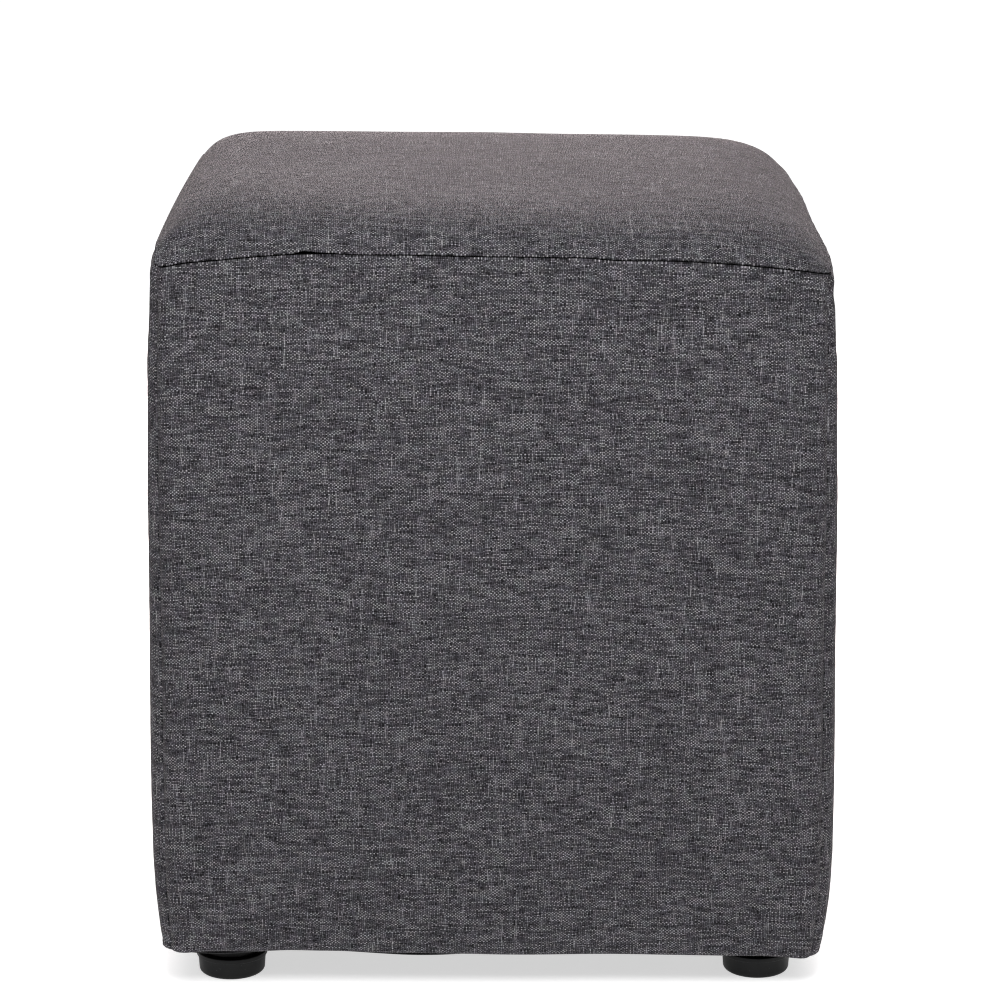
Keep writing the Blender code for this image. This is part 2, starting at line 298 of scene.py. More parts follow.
def waves(places, seed, longest, shortest):
    """A smooth random curve along a line, about -1 to 1."""
    draw = np.random.default_rng(seed)
    terms, divisor = WAVE_TERMS
    total = 0.0
    for length in np.geomspace(longest, shortest, terms):
        total = total + draw.uniform(0.4, 1.0) * np.sin(2 * math.pi * (places / length + draw.uniform()))
    return total / divisor


def dents(u, v, seed):
    """A smooth random height over a face, about -1 to 1."""
    draw = np.random.default_rng(seed)
    longest, shortest = DENT_WAVES
    terms, divisor = DENT_TERMS
    total = 0.0
    for length in np.geomspace(longest, shortest, terms):
        angle = draw.uniform(0.0, math.pi)
        along = u * math.cos(angle) + v * math.sin(angle)
        total = total + length / longest * np.sin(2 * math.pi * (along / length + draw.uniform()))
    return total / divisor


def near(distance, reach):
    """1 at a seam or another place, falling smoothly to 0 away from it."""
    return np.exp(-(distance / reach) ** 2)


def beside(distance, reach):
    """0 at a seam, 1 at a reach away from it, and falling to 0 further off."""
    return distance / reach * np.exp(1.0 - distance / reach)


# ---------------------------------------------------------------- meshes

def add_piece(name, points, faces, materials, weave=None, chosen=None):
    """A smoothly shaded object from points and faces, with its weave coordinates as an attribute.

    Where `chosen` is given, it numbers the material of each face."""
    mesh = bpy.data.meshes.new(name)
    mesh.from_pydata(points.tolist(), [], faces)
    mesh.shade_smooth()
    mesh.set_sharp_from_angle(angle=SHARP_ANGLE)
    for material in materials:
        mesh.materials.append(material)
    if chosen is not None:
        mesh.polygons.foreach_set("material_index", chosen)
    if weave is not None:
        layer = mesh.attributes.new("weave", "FLOAT_VECTOR", "POINT")
        layer.data.foreach_set("vector", weave.astype(np.float32).ravel())
    obj = bpy.data.objects.new(name, mesh)
    bpy.context.scene.collection.objects.link(obj)
    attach(obj, "root")
    return obj


def grid_quads(rows, columns):
    """Faces of a grid of points numbered row by row."""
    index = np.arange(rows * columns).reshape(rows, columns)
    quads = (index[:-1, :-1], index[:-1, 1:], index[1:, 1:], index[1:, :-1])
    return np.stack(quads, axis=-1).reshape(-1, 4).tolist()


def rim_of(grid):
    """The points round the edge of a grid: first row, last column, then last row and first column back."""
    return np.concatenate((grid[0, :-1], grid[:-1, -1], grid[-1, :0:-1], grid[:0:-1, 0]))


def ring_quads(upper, lower):
    """Faces between two closed rings of point numbers."""
    return np.stack((upper, lower, np.roll(lower, -1), np.roll(upper, -1)), axis=-1).tolist()


def closed_pad(grid, weave, rings, ring_weaves, upright_seams):
    """Points, faces, weave and material numbers of a closed form.

    It is a grid, then rings from its rim to a last one that is filled.  The cloth's own material
    goes LIT_TURNS rings in, or all round the turn along the first and last columns if those are
    upright seams.  The rings beyond it and the filled face get the material with the seam's
    shade painted in."""
    rows, columns = grid.shape[:2]
    faces = grid_quads(rows, columns)
    numbers = np.arange(rows * columns).reshape(rows, columns)
    upper = rim_of(numbers)
    first = rows * columns
    for _ in rings:
        lower = first + np.arange(len(upper))
        faces += ring_quads(upper, lower)
        upper = lower
        first += len(upper)
    faces.append(upper[::-1].tolist())
    points = np.concatenate([grid.reshape(-1, 3), *rings])

    upright = np.zeros((rows, columns), bool)
    upright[:, (0, -1)] = upright_seams
    upright = rim_of(upright)
    chosen = [0] * ((rows - 1) * (columns - 1))
    for number in range(len(rings)):
        # Rings turned further into the seam get the material with the seam's painted shade.
        in_seam_shade = np.where(upright, number >= len(TURNS), number >= LIT_TURNS)
        chosen += in_seam_shade.astype(int).tolist()
    chosen.append(1)
    return points, faces, np.concatenate([weave.reshape(-1, 3), *ring_weaves]), chosen


def cloth_lengths(grid, seed):
    """Distances along the cloth from the middle of a grid, along its rows and along its columns."""
    weave = np.zeros(grid.shape)
    for axis, column in ((1, 0), (0, 1)):
        steps = np.linalg.norm(np.diff(grid, axis=axis), axis=2)
        length = np.insert(np.cumsum(steps, axis=axis), 0, 0.0, axis=axis)
        middle = np.take(length, [grid.shape[axis] // 2], axis=axis)
        weave[..., column] = length - middle
    weave[..., 2] = seed
    return weave


def side_rims(across, outward, height, turn, sign):
    """Rings of a side panel behind its grid: rolled into its seams, in along them, and to its back."""
    rows, columns = across.shape
    toward = np.zeros((rows, columns, 3))
    inward = np.stack((-sign * np.sin(turn), -np.cos(turn), np.zeros_like(turn)), axis=-1)
    diagonal = math.cos(SEAM_ANGLE)
    for column, side in ((0, -1.0), (-1, 1.0)):
        toward[:, column] += (side * diagonal, -diagonal, 0.0)
        inward[:, column] = (-side * diagonal, -diagonal, 0.0)
    step = toward * sign[..., None] * JOG
    toward[-1] += (0.0, 0.0, 1.0)
    roll = np.full((rows, columns, 1), ROLL)
    roll[:, (0, -1)] = SIDE_ROLL
    grids = (np.stack((across, outward, height), -1), toward, inward, roll, step)
    start, toward, inward, roll, step = (rim_of(values) for values in grids)
    rings = [start + roll * (toward * math.sin(a) + inward * (1 - math.cos(a))) for a in TURNS]
    rings += [start + roll * toward + depth * inward for depth in ALLOWANCE]
    rings[-1] += step
    back = rings[-1].copy()
    back[:, 0] *= (WALL_INNER - SIDE_SEAM_GAP / 2) / np.abs(back[:, 0]).max()
    back[:, 1] = WALL_INNER
    return rings + [back]


def drawn_in(points):
    """Points on the stool, with those at its upper back corners drawn in."""
    share = np.clip((points[:, 2] - DRAWN_FROM) / DRAWN_RISE, 0.0, 1.0)
    upper = share ** 2 * (3.0 - 2.0 * share)
    moved = points.copy()
    for sign, amount, start in DRAWN_IN:
        back = np.clip((points[:, 1] - start) / (SEAM_HALF - start), 0.0, 1.0) ** 2
        side = np.clip(sign * points[:, 0] / SEAM_HALF, 0.0, 1.0)
        moved[:, 0] -= sign * amount * upper * back * side
    return moved


def swell(points):
    """How far the padding stands out at places on a side, by the table of swells."""
    total = 0.0
    for row in SWELLS:
        away = np.linalg.norm((points - row[:3]) / row[3:6], axis=-1)
        total = total + row[6] * near(away, 1.0)
    return total


def side_panel(name, quarter_turns, materials):
    """A padded side panel: turned under below, rolled into its seams at the sides and above."""
    knots = np.insert(np.cumsum(np.hypot(*np.diff(PROFILE[:, :2], axis=0).T)), 0, 0.0)
    total = knots[-1]
    start = SIDE_SEAM_GAP / 2 + SIDE_ROLL
    along = spaced(-HALF_ACROSS + start, HALF_ACROSS - start, SEAM_STEP, SEAM_STEP)[None, :]
    up = spaced(0.0, total - TOP_SEAM_GAP / 2 - ROLL, HEM_STEP, SEAM_STEP)
    level, half, radius = (column[:, None] for column in smooth_curve(up, knots, PROFILE).T)
    up = up[:, None]
    sign = np.sign(along)

    length = (half - radius) + radius * SEAM_ANGLE
    from_side = length * (1.0 - np.abs(along) / HALF_ACROSS)
    from_top = total - up
    share = np.clip((level - LIP_LEVEL) / (SEAM_LEVEL - LIP_LEVEL), 0.0, 1.0)
    across, outward, turn = outline(from_side, half, radius, FACE_BULGE * np.sin(math.pi * share))

    side_groove = near(from_side, GROOVE_REACH)
    top_groove = near(from_top, GROOVE_REACH)
    sink = SEAM_GROOVE * side_groove + GROOVE_IN * top_groove * (1.0 - side_groove)
    seed = 100 * quarter_turns
    sink = sink - PUCKER * beside(from_top, PUCKER_REACH) * waves(along, seed + 1, *PUCKER_WAVES)
    for side in (-1, 1):
        ripple = waves(up, seed + 3 + side, *SIDE_WAVES)
        sink = sink - PUCKER * beside(from_side, PUCKER_REACH) * ripple * (sign == side)
    free = 1.0
    for distance in (from_side, from_top, up):
        free = free * (1.0 - near(distance, DENT_FREE))
    sink = sink - DENT * free * dents(along, up, seed + 5)
    out = swell(turned(sign * across, outward, level, quarter_turns))
    sink = sink - out * (1.0 - near(from_top, GAP_REACH))

    across = sign * (across - sink * np.sin(turn))
    outward = outward - sink * np.cos(turn)
    plan = turned(across, outward, 0.0, quarter_turns)
    x, y = plan[..., 0], plan[..., 1]
    low = between_corners(x, y, 6) + lifted(x, y, HEM_LIFTS)
    seam = seam_height(x, y) - GROOVE_IN
    height = low + (level - LIP_LEVEL) * (seam - low) / (SEAM_LEVEL - LIP_LEVEL)
    height = np.where(up < TUCK, UNDERSIDE + (height - UNDERSIDE) * (up / TUCK) ** 2, height)

    grid = np.stack((across, outward, height), axis=-1)
    weave = cloth_lengths(grid, quarter_turns)
    rings = side_rims(across, outward, height, *np.broadcast_arrays(turn, sign))
    rim_weave = rim_of(weave)
    points, faces, weave, chosen = closed_pad(grid, weave, rings, [rim_weave] * len(rings), True)
    points = drawn_in(turned(*points.T, quarter_turns)) + SHIFT
    obj = add_piece(f"{name}_panel_cloth", points, faces, materials, weave, chosen)
    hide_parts(f"{name}_panel")


def crown_rise(a, b):
    """Rise of the top panel above its seam, with both places running from -1 to 1."""
    power_x = np.where(a < 0.0, EDGE_LEFT[0], EDGE_RIGHT[0])
    root_x = np.where(a < 0.0, EDGE_LEFT[1], EDGE_RIGHT[1])
    power_y = np.where(b < 0.0, EDGE_FRONT[0], EDGE_BACK[0])
    root_y = np.where(b < 0.0, EDGE_FRONT[1], EDGE_BACK[1])
    rise_x = np.maximum(0.0, 1.0 - np.abs(a) ** power_x) ** root_x
    rise_y = np.maximum(0.0, 1.0 - np.abs(b) ** power_y) ** root_y
    right = np.maximum(0.0, a)
    return CROWN * rise_x * rise_y * (1.0 - CROWN_LEAN * right * (2.0 - right))


def gape(x, y):
    """Lift of the top panel where its front seam gapes."""
    share = np.interp(x, GAPE[:3], (0.0, 1.0, 0.0))
    return GAPE[3] * share ** 2 * (3.0 - 2.0 * share) * (y < -SEAM_HALF / 2)


def top_plan(a, b):
    """Plan of the top panel: places across and along it give X, Y and the outward direction at the rim."""
    half = SEAM_HALF - GROOVE_IN
    radius = SEAM_CORNER - GROOVE_IN
    ring = np.maximum(np.abs(a), np.abs(b))
    faces_y = np.abs(b) >= np.abs(a)
    share = np.where(faces_y, a, b) / np.where(ring > 0.0, ring, 1.0)
    over = np.clip((np.abs(share) * TOP_EDGE - (half - radius)) / radius, 0.0, math.sin(SEAM_ANGLE))
    outward = half - radius + radius * np.sqrt(1.0 - over ** 2)
    flat = np.clip(np.abs(share) * TOP_EDGE / (half - radius), 0.0, 1.0)
    outward = outward + FACE_BULGE / 2 * (1.0 - flat ** 2)
    extra = (outward - TOP_EDGE) * ring ** PLAN_POWER
    x = a * TOP_EDGE + np.where(faces_y, 0.0, np.sign(a) * extra)
    y = b * TOP_EDGE + np.where(faces_y, np.sign(b) * extra, 0.0)
    slope = np.sqrt(1.0 - over ** 2)
    out_x = np.where(faces_y, np.sign(share) * over, np.sign(a) * slope)
    out_y = np.where(faces_y, np.sign(b) * slope, np.sign(share) * over)
    return x, y, out_x, out_y


def top_panel(materials):
    """The crowned top panel, rolled into its seam, with its pad between the walls."""
    places = spaced(-TOP_EDGE, TOP_EDGE, SEAM_STEP, SEAM_STEP) / TOP_EDGE
    a, b = np.meshgrid(places, places)
    x, y, out_x, out_y = top_plan(a, b)
    from_rim = TOP_EDGE * (1.0 - np.maximum(np.abs(a), np.abs(b)))
    rim_level = seam_height(x, y) - GROOVE_IN * near(from_rim, RIM_REACH) + TOP_SEAM_GAP / 2
    height = rim_level + ROLL + crown_rise(a, b) * (1.0 - ROLL / CROWN)
    height = height + gape(x, y) * near(from_rim, RIM_REACH)
    inner = 1.0 - near(from_rim, TOP_DENT_FREE)
    height = height + DENT * inner * dents(x, y, TOP_SEED + 5)
    # The nearest edge is the front (-1), the back (1), the left (-2) or the right one (2).
    faces_y = np.abs(b) >= np.abs(a)
    along = np.where(faces_y, x, y)
    side = np.where(faces_y, np.sign(b), 2 * np.sign(a))
    for number in (-2, -1, 1, 2):
        ripple = waves(along, TOP_SEED + 20 + number, *PUCKER_WAVES)
        height = height + PUCKER * (side == number) * beside(from_rim, PUCKER_REACH) * ripple
        fray = waves(along, TOP_SEED + 40 + number, *GAP_WAVES)
        height = height + GAP_WAVE * (side == number) * near(from_rim, GAP_REACH) * fray

    grid = np.stack((x, y, height), axis=-1)
    weave = cloth_lengths(grid, 4.0)
    start = rim_of(grid)
    inward = -rim_of(np.stack((out_x, out_y, np.zeros_like(out_x)), axis=-1))
    down = np.array((0.0, 0.0, -1.0))
    rings = [start + ROLL * (down * math.sin(t) + inward * (1 - math.cos(t))) for t in TURNS]
    rings += [start + ROLL * down + depth * inward for depth in ALLOWANCE]
    level = rings[-1][:, 2]
    square = rim_of(np.stack((a, b), axis=-1))
    for half, share in PAD_STEPS:
        ring = np.empty_like(start)
        ring[:, :2] = square * half
        ring[:, 2] = level + share * (SEAM_LEVEL - PAD_DEPTH - level)
        rings.append(ring)
    points, faces, weave, chosen = closed_pad(grid, weave, rings, [rim_of(weave)] * len(rings), False)
    points = drawn_in(points) + SHIFT
    obj = add_piece("top_panel_cloth", points, faces, materials, weave, chosen)
    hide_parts("top_panel")


def bottom_sheet(material):
    """The thin black cloth stretched under the stool, sagging in its middle and along its front edge."""
    low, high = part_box("bottom_cloth")
    half = (high.x - low.x) / 2
    columns = np.linspace(-half, half, SHEET_POINTS)
    rows = 2 * half * np.linspace(0.0, 1.0, SHEET_POINTS) ** SHEET_CROWD - half
    x, y = np.meshgrid(columns, rows)
    reach, depth = SHEET_SAG
    middle = np.maximum(0.0, 1.0 - (np.hypot(x, y) / reach) ** 2) ** 2
    height = high.z - SHEET_LEVEL - depth * middle
    for at, reach, drop in EDGE_SAGS:
        height = height - drop * near(x - at, reach) * near(y + half, EDGE_SAG_DEEP)
    height = height + SHEET_UNEVEN * dents(x, y, SHEET_SEED)
    points = np.stack((x, y, height), axis=-1).reshape(-1, 3)
    obj = add_piece("bottom_cloth_sheet", points, grid_quads(*x.shape), [material],
                    points)
    solid = obj.modifiers.new("thickness", "SOLIDIFY")
    solid.thickness = SHEET_THICKNESS
    solid.offset = 0.0
    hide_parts("bottom_cloth")


def foot(name, material):
    """A short turned foot: slightly tapered, rounded below, with a narrow lip and a neck above it."""
    low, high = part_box(name)
    centre = (low + high) / 2
    wide = (high.x - low.x) / 2
    top = high.z
    flat = FOOT_BODY - FOOT_CORNER
    lip = wide * LIP_WIDER - FOOT_LIP
    lower_lip, upper_lip = (share * top for share in LIP_SHARES)
    arc = [(FOOT_LIP * math.sin(t), FOOT_LIP * math.cos(t)) for t in QUARTER]
    profile = [(flat + FOOT_CORNER * math.sin(t), FOOT_CORNER * (1.0 - math.cos(t))) for t in QUARTER]
    profile += [(half, share * top) for half, share in FOOT_TAPER]
    profile += [(lip + sine, lower_lip - cosine) for sine, cosine in arc]
    profile += [(lip + cosine, upper_lip - FOOT_LIP + sine) for sine, cosine in arc]
    profile += [(share * wide, level * top) for share, level in FOOT_NECK]
    angle = 2 * math.pi * np.arange(FOOT_STEPS) / FOOT_STEPS
    rings = [np.stack((centre.x + r * np.cos(angle), centre.y + r * np.sin(angle), 0 * angle + z), -1)
             for r, z in profile]
    numbers = np.arange(len(rings) * FOOT_STEPS).reshape(len(rings), FOOT_STEPS)
    faces = []
    for lower, upper in zip(numbers[:-1], numbers[1:]):
        faces += ring_quads(upper, lower)
    faces += [numbers[0, ::-1].tolist(), numbers[-1].tolist()]
    obj = add_piece(f"{name}_turned", np.concatenate(rings), faces, [material])
    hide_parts(name)


# ---------------------------------------------------------------- materials

def node(tree, kind, inputs=None, **settings):
    """A new node with its settings, and its inputs set or linked."""
    made = tree.nodes.new(kind)
    for name, value in settings.items():
        setattr(made, name, value)
    for key, value in (inputs or {}).items():
        if isinstance(value, bpy.types.NodeSocket):
            tree.links.new(value, made.inputs[key])
        else:
            made.inputs[key].default_value = value
    return made


def maths(tree, operation, *values):
    """Result of a Math node."""
    return node(tree, "ShaderNodeMath", dict(enumerate(values)), operation=operation).outputs[0]


def vector_maths(tree, operation, *values):
    """Result of a Vector Math node; a last number is its scale."""
    inputs = dict(enumerate(values))
    if operation == "SCALE":
        inputs = {0: values[0], "Scale": values[1]}
    return node(tree, "ShaderNodeVectorMath", inputs, operation=operation).outputs[0]


def noise(tree, vector, scale, detail=0.0, output="Factor", roughness=0.5):
    """Output of a Noise Texture, about 0 to 1."""
    made = node(tree, "ShaderNodeTexNoise", {"Vector": vector, "Scale": scale, "Detail": detail,
                "Roughness": roughness})
    return made.outputs[0 if output == "Factor" else 1]


def ranged(tree, value, low, high, to_low, to_high, smooth=False):
    """A value mapped from one range to another and clamped."""
    made = node(tree, "ShaderNodeMapRange", {"Value": value, "From Min": low, "From Max": high,
                "To Min": to_low, "To Max": to_high},
                interpolation_type="SMOOTHSTEP" if smooth else "LINEAR", clamp=True)
    return made.outputs[0]


def noise_vector(tree, vector, scale, detail=0.0):
    """A random vector, about -0.5 to 0.5 each way."""
    colour = noise(tree, vector, scale, detail=detail, output="Color")
    return vector_maths(tree, "SUBTRACT", colour, (0.5,) * 3)


def new_material(name):
    """A material, its node tree and its shader."""
    material = bpy.data.materials.new(name)
    material.use_nodes = True
    tree = material.node_tree
    return material, tree, tree.nodes["Principled BSDF"]


WARP_PITCH = 0.00092      # spacing of the upright threads
WEFT_PITCH = 0.000755     # spacing of the level threads
WARP_LIGHT = 0.64         # how light the upright threads are
WEFT_LIGHT = 1.40         # how light the level threads are
YARN_DARK = (0.0160, 0.0148, 0.0178)
YARN_MID = (0.136, 0.129, 0.147)
YARN_LIGHT = (0.390, 0.378, 0.400)
YARN_MID_AT = 0.52        # tone at which a yarn has its middle colour
CLOTH_SHADE = 0.715       # how light the weave is as a whole
# The next value sets how strongly the painted shade darkens the colour between the threads.
SHADE_POWER = 1.3         # how dark the places between the threads are
THREAD_POWER = 0.6        # how flat a thread's section is: 0 is flat and 1 is round
THREAD_ARCH = 0.6         # share of a thread's height that comes from arching over another one
FUZZ_SCALE = 1300.0       # noise scale of the fuzz on the yarns
FIBRE_SCALE = 5200.0      # noise scale of single fibres
FIBRE_RELIEF = 0.15       # their height, as a share of a thread's
TINT = (200.0, 0.14)      # noise scale of the small differences in hue, and their strength
PIECE_SEED = 31.7         # difference between two pieces' random values
WEFT_SEED = 5.3           # the same between the level and the upright threads
SLUB_SEED = 40.0          # and between the slubs and the fibres
SHEEN_COLOUR = (1.0, 0.86, 0.84, 1.0)
# Colour of the cloth inside the seams, darkened as the seam's painted shade.
SEAM_SHADE_COLOUR = (0.0080, 0.0077, 0.0084)
BLACK_CLOTH_COLOUR = (0.012, 0.012, 0.013)
BLACK_PLASTIC_COLOUR = (0.0038, 0.0040, 0.0043)

# Random values of a yarn: hop from thread to thread, changes per metre, detail and roughness.
FIBRES = (17.31, 130.0, 3.0, 0.7)
SLOW_CHANGES = (7.77, 35.0, 1.0, 0.5)
SLUBS = (5.13, 60.0, 0.0, 0.5)

# How the threads stray from straight lines: scale and detail of the noise, and how far.
THREAD_DRIFT = (
    (9.0, 1.0, 0.004),
    (240.0, 0.0, 0.0010),
)


def yarn_noise(tree, number, along, seed, hop, per_metre, detail, roughness):
    """A random value that changes along a thread and from thread to thread."""
    shift = maths(tree, "MULTIPLY", number, hop / 10)
    place = node(tree, "ShaderNodeCombineXYZ", {"X": maths(tree, "MULTIPLY", number, hop),
                 "Y": maths(tree, "MULTIPLY_ADD", along, per_metre, shift), "Z": seed}).outputs[0]
    return noise(tree, place, 1.0, detail=detail, roughness=roughness)


def thread_tone(tree, number, along, seed, lightness):
    """Lightness of a melange thread: mixed fibres, slow changes, and some long pale slubs."""
    fibres = yarn_noise(tree, number, along, seed, *FIBRES)
    tone = ranged(tree, fibres, 0.34, 0.70, 0.0, 1.0)
    slow = yarn_noise(tree, number, along, seed, *SLOW_CHANGES)
    tone = maths(tree, "MULTIPLY", tone, ranged(tree, slow, 0.3, 0.7, 0.7, 1.3))
    slubs = yarn_noise(tree, number, along, maths(tree, "ADD", seed, SLUB_SEED), *SLUBS)
    tone = maths(tree, "ADD", tone, ranged(tree, slubs, 0.64, 0.76, 0.0, 0.8))
    return maths(tree, "MULTIPLY", tone, lightness)


def thread_places(tree, weave):
    """The weave's coordinates, moved so that the threads stray a little."""
    moved = weave
    for scale, detail, amount in THREAD_DRIFT:
        shift = vector_maths(tree, "SCALE", noise_vector(tree, weave, scale, detail), amount)
        moved = vector_maths(tree, "ADD", moved, shift)
    return moved


def threads(tree, place, pitch):
    """The number of the thread at a place across the threads, and the round of its section there."""
    at = maths(tree, "DIVIDE", place, pitch)
    section = maths(tree, "SINE", maths(tree, "MULTIPLY", maths(tree, "FRACT", at), math.pi))
    return maths(tree, "FLOOR", at), section


def thread_height(tree, across, along):
    """Height of a thread that arches over another one, from the rounds of both."""
    arch = maths(tree, "MULTIPLY_ADD", along, THREAD_ARCH, 1.0 - THREAD_ARCH)
    return maths(tree, "MULTIPLY", maths(tree, "POWER", across, THREAD_POWER), arch)


def on_top(tree, weft_over, of_warp, of_weft):
    """The value that belongs to the thread that lies on top."""
    return node(tree, "ShaderNodeMix", {"Factor": weft_over, "A": of_warp, "B": of_weft},
                data_type="FLOAT").outputs[0]


def yarn_colour(tree, tone):
    """Colour of a yarn, from dark to light."""
    ramp = node(tree, "ShaderNodeValToRGB", {"Fac": tone})
    ramp.color_ramp.elements[0].color = (*YARN_DARK, 1.0)
    ramp.color_ramp.elements[1].color = (*YARN_LIGHT, 1.0)
    ramp.color_ramp.elements.new(YARN_MID_AT).color = (*YARN_MID, 1.0)
    return ramp.outputs["Color"]


def cloth_material():
    """Melange plain weave with painted shade between the threads and a faint warm sheen from the yarns'
    fuzz.
    """
    material, tree, shader = new_material("grey_cloth_weave")
    weave = node(tree, "ShaderNodeAttribute", attribute_name="weave").outputs["Vector"]
    moved = thread_places(tree, weave)
    across, up, _ = node(tree, "ShaderNodeSeparateXYZ", {0: moved}).outputs
    piece = node(tree, "ShaderNodeSeparateXYZ", {0: weave}).outputs[2]
    seed = maths(tree, "MULTIPLY", piece, PIECE_SEED)

    warp, warp_round = threads(tree, across, WARP_PITCH)
    weft, weft_round = threads(tree, up, WEFT_PITCH)
    weft_over = maths(tree, "FLOORED_MODULO", maths(tree, "ADD", warp, weft), 2.0)
    warp_tone = thread_tone(tree, warp, up, seed, WARP_LIGHT)
    weft_tone = thread_tone(tree, weft, across, maths(tree, "ADD", seed, WEFT_SEED), WEFT_LIGHT)
    tone = on_top(tree, weft_over, warp_tone, weft_tone)
    height = on_top(tree, weft_over, thread_height(tree, warp_round, weft_round),
                    thread_height(tree, weft_round, warp_round))

    # Painted shade: the colour darkens where a thread dips under its neighbour, between the threads.
    shade = maths(tree, "MULTIPLY", maths(tree, "POWER", height, SHADE_POWER), CLOTH_SHADE)
    fuzz = noise(tree, weave, FUZZ_SCALE, detail=1.0)
    shade = maths(tree, "MULTIPLY", shade, ranged(tree, fuzz, 0.3, 0.7, 0.5, 1.5))
    colour = vector_maths(tree, "SCALE", yarn_colour(tree, tone), shade)
    scale, strength = TINT
    tint = vector_maths(tree, "SCALE", noise_vector(tree, weave, scale, detail=1.0), strength)
    tint = vector_maths(tree, "ADD", tint, (1.0,) * 3)
    tree.links.new(vector_maths(tree, "MULTIPLY", colour, tint), shader.inputs["Base Color"])

    fibres = noise(tree, moved, FIBRE_SCALE, detail=1.0)
    relief = maths(tree, "MULTIPLY_ADD", fibres, FIBRE_RELIEF, height)
    bump = node(tree, "ShaderNodeBump", {"Height": relief, "Strength": 0.6, "Distance": 0.0003})
    tree.links.new(bump.outputs[0], shader.inputs["Normal"])
    tree.links.new(ranged(tree, fibres, 0.2, 0.8, 0.82, 0.97), shader.inputs["Roughness"])
    shader.inputs["Specular IOR Level"].default_value = 0.1
    shader.inputs["Sheen Weight"].default_value = 0.06
    shader.inputs["Sheen Roughness"].default_value = 0.2
    shader.inputs["Sheen Tint"].default_value = SHEEN_COLOUR
    return material


def seam_shade_material():
    """The same yarns where the cloth turns into a seam, darkened as the seam's painted shade, with no
    sheen.
    """
    material, tree, shader = new_material("grey_cloth_seam_shade")
    weave = node(tree, "ShaderNodeAttribute", attribute_name="weave").outputs["Vector"]
    fibres = noise(tree, weave, 900.0, detail=2.0)
    tone = ranged(tree, fibres, 0.3, 0.7, 0.6, 1.5)
    tree.links.new(vector_maths(tree, "SCALE", SEAM_SHADE_COLOUR, tone), shader.inputs["Base Color"])
    shader.inputs["Roughness"].default_value = 0.95
    shader.inputs["Specular IOR Level"].default_value = 0.1
    return material


def black_cloth_material():
    """Thin black non-woven cloth with its pressed dots."""
    material, tree, shader = new_material("black_cloth_felted")
    weave = node(tree, "ShaderNodeAttribute", attribute_name="weave").outputs["Vector"]
    dots = node(tree, "ShaderNodeTexVoronoi", {"Vector": weave, "Scale": 900.0, "Randomness": 0.15},
                voronoi_dimensions="2D").outputs["Distance"]
    fibres = noise(tree, weave, 1800.0, detail=3.0)
    relief = maths(tree, "ADD", ranged(tree, dots, 0.15, 0.35, 0.0, 1.0, smooth=True), fibres)
    bump = node(tree, "ShaderNodeBump", {"Height": relief, "Strength": 0.5, "Distance": 0.0001})
    tree.links.new(bump.outputs[0], shader.inputs["Normal"])
    tone = ranged(tree, fibres, 0.3, 0.7, 0.6, 1.4)
    colour = vector_maths(tree, "SCALE", BLACK_CLOTH_COLOUR, tone)
    tree.links.new(colour, shader.inputs["Base Color"])
    shader.inputs["Roughness"].default_value = 0.9
    return material


def plastic_material():
    """Moulded black plastic with a fine grain and a few pale specks of dust."""
    material, tree, shader = new_material("black_plastic_grain")
    place = node(tree, "ShaderNodeTexCoord").outputs["Object"]
    grain = noise(tree, place, 2600.0, detail=2.0)
    cloud = noise(tree, place, 120.0, detail=2.0)
    bump = node(tree, "ShaderNodeBump", {"Height": grain, "Strength": 0.35, "Distance": 0.0001})
    tree.links.new(bump.outputs[0], shader.inputs["Normal"])
    tone = maths(tree, "MULTIPLY", ranged(tree, cloud, 0.3, 0.7, 0.8, 1.25),
                 ranged(tree, grain, 0.3, 0.7, 0.85, 1.15))
    dust = ranged(tree, noise(tree, place, 640.0, detail=1.0), 0.72, 0.78, 0.0, 12.0)
    tone = maths(tree, "ADD", tone, maths(tree, "MULTIPLY", dust, cloud))
    colour = vector_maths(tree, "SCALE", BLACK_PLASTIC_COLOUR, tone)
    tree.links.new(colour, shader.inputs["Base Color"])
    tree.links.new(ranged(tree, cloud, 0.3, 0.7, 0.45, 0.58), shader.inputs["Roughness"])
    shader.inputs["Specular IOR Level"].default_value = 0.18
    return material


# ---------------------------------------------------------------- setting

LENS = 137.4              # focal length and sensor width in millimetres
SENSOR = 36.0
PIXEL_FILTER = 1.2        # width of the pixel filter, in pixels
CAMERA_PLACE = (-0.0112, -1.9946, 0.7380)
CAMERA_TILT = 75.33       # degrees up from straight down
CAMERA_HEADING = -0.44    # degrees to the left of straight back

FLOOR_REACH = 6.0         # half width of the floor
FLOOR_GLOW = 0.61         # strength of its own light
SKY_LIGHT = 0.88          # strength of the light from above
SKY_FROM = (0.5, 0.6)     # rise at which the sky's light starts and is full
WHITE = (1.0, 1.0, 1.0)
WARM = (1.0, 0.86, 0.86)
LIT_PLACE = (0.0, 0.0, 0.25)    # where the lights point

# Lights: name, place, side of the square, watts, colour.
LIGHTS = (
    ("key", (0.0, -0.85, 1.0), 0.5, 9.8, WHITE),
    ("overhead", (0.0, -0.5, 1.2), 0.6, 2.3, WHITE),
    ("behind", (0.0, 1.3, 0.6), 0.8, 33.0, WARM),
)


def floor():
    """A plain white floor that glows a little, as a lit table does."""
    material, _, shader = new_material("floor_white")
    shader.inputs["Base Color"].default_value = (0.8, 0.8, 0.8, 1.0)
    shader.inputs["Roughness"].default_value = 0.9
    shader.inputs["Specular IOR Level"].default_value = 0.0
    shader.inputs["Emission Color"].default_value = (1.0, 1.0, 1.0, 1.0)
    shader.inputs["Emission Strength"].default_value = FLOOR_GLOW
    corners = ((-1, -1), (1, -1), (1, 1), (-1, 1))
    points = [(x * FLOOR_REACH, y * FLOOR_REACH, 0.0) for x, y in corners]
    mesh = bpy.data.meshes.new("floor")
    mesh.from_pydata(points, [], [(0, 1, 2, 3)])
    mesh.materials.append(material)
    obj = bpy.data.objects.new("floor", mesh)
    bpy.context.scene.collection.objects.link(obj)


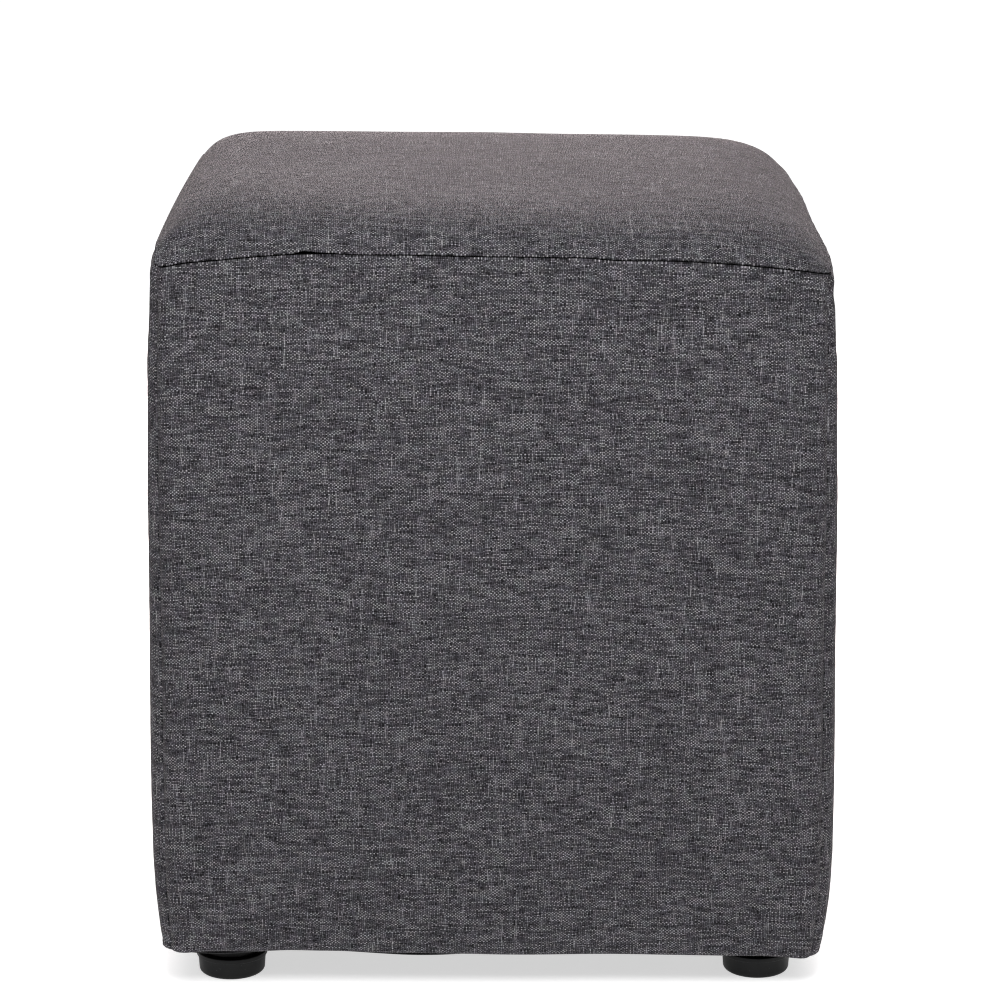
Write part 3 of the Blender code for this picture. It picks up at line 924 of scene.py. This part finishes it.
def area_light(name, place, size, watts, colour):
    """A square soft light that faces the stool and that the camera doesn't see."""
    light = bpy.data.lights.new(name, "AREA")
    light.shape = "SQUARE"
    light.size = size
    light.energy = watts
    light.color = colour
    obj = bpy.data.objects.new(name, light)
    bpy.context.scene.collection.objects.link(obj)
    obj.location = place
    obj.visible_camera = False
    aim = np.array(LIT_PLACE) - np.array(place)
    tilt = math.atan2(aim[2], math.hypot(aim[0], aim[1]))
    heading = math.atan2(aim[1], aim[0])
    obj.rotation_euler = (math.pi / 2 + tilt, 0.0, heading - math.pi / 2)


def sky():
    """Soft light from above, in front of a plain white background."""
    world = bpy.data.worlds.new("studio")
    bpy.context.scene.world = world
    world.use_nodes = True
    tree = world.node_tree
    direction = node(tree, "ShaderNodeTexCoord").outputs["Generated"]
    rise = node(tree, "ShaderNodeSeparateXYZ", {0: direction}).outputs[2]
    strength = ranged(tree, rise, *SKY_FROM, 0.0, SKY_LIGHT)
    seen = node(tree, "ShaderNodeLightPath").outputs["Is Camera Ray"]
    background = tree.nodes["Background"]
    background.inputs["Color"].default_value = (1.0, 1.0, 1.0, 1.0)
    tree.links.new(maths(tree, "MAXIMUM", strength, seen), background.inputs["Strength"])


def camera():
    """The photograph's view: a long lens, a little above the stool."""
    lens = bpy.data.cameras.new("camera")
    lens.lens = LENS
    lens.sensor_width = SENSOR
    obj = bpy.data.objects.new("camera", lens)
    bpy.context.scene.collection.objects.link(obj)
    obj.location = CAMERA_PLACE
    obj.rotation_euler = (math.radians(CAMERA_TILT), 0.0, math.radians(CAMERA_HEADING))
    bpy.context.scene.camera = obj


def setting():
    """The camera, the floor and the lights."""
    camera()
    floor()
    sky()
    for light in LIGHTS:
        area_light(*light)
    bpy.context.scene.view_settings.view_transform = "Standard"
    bpy.context.scene.cycles.filter_width = PIXEL_FILTER


def stool():
    """All pieces of the stool: five panels, the cloth below and four feet."""
    cloth = [cloth_material(), seam_shade_material()]
    for name, quarter_turns in SIDES:
        side_panel(name, quarter_turns, cloth)
    top_panel(cloth)
    bottom_sheet(black_cloth_material())
    plastic = plastic_material()
    for name in FEET:
        foot(name, plastic)


stool()
setting()
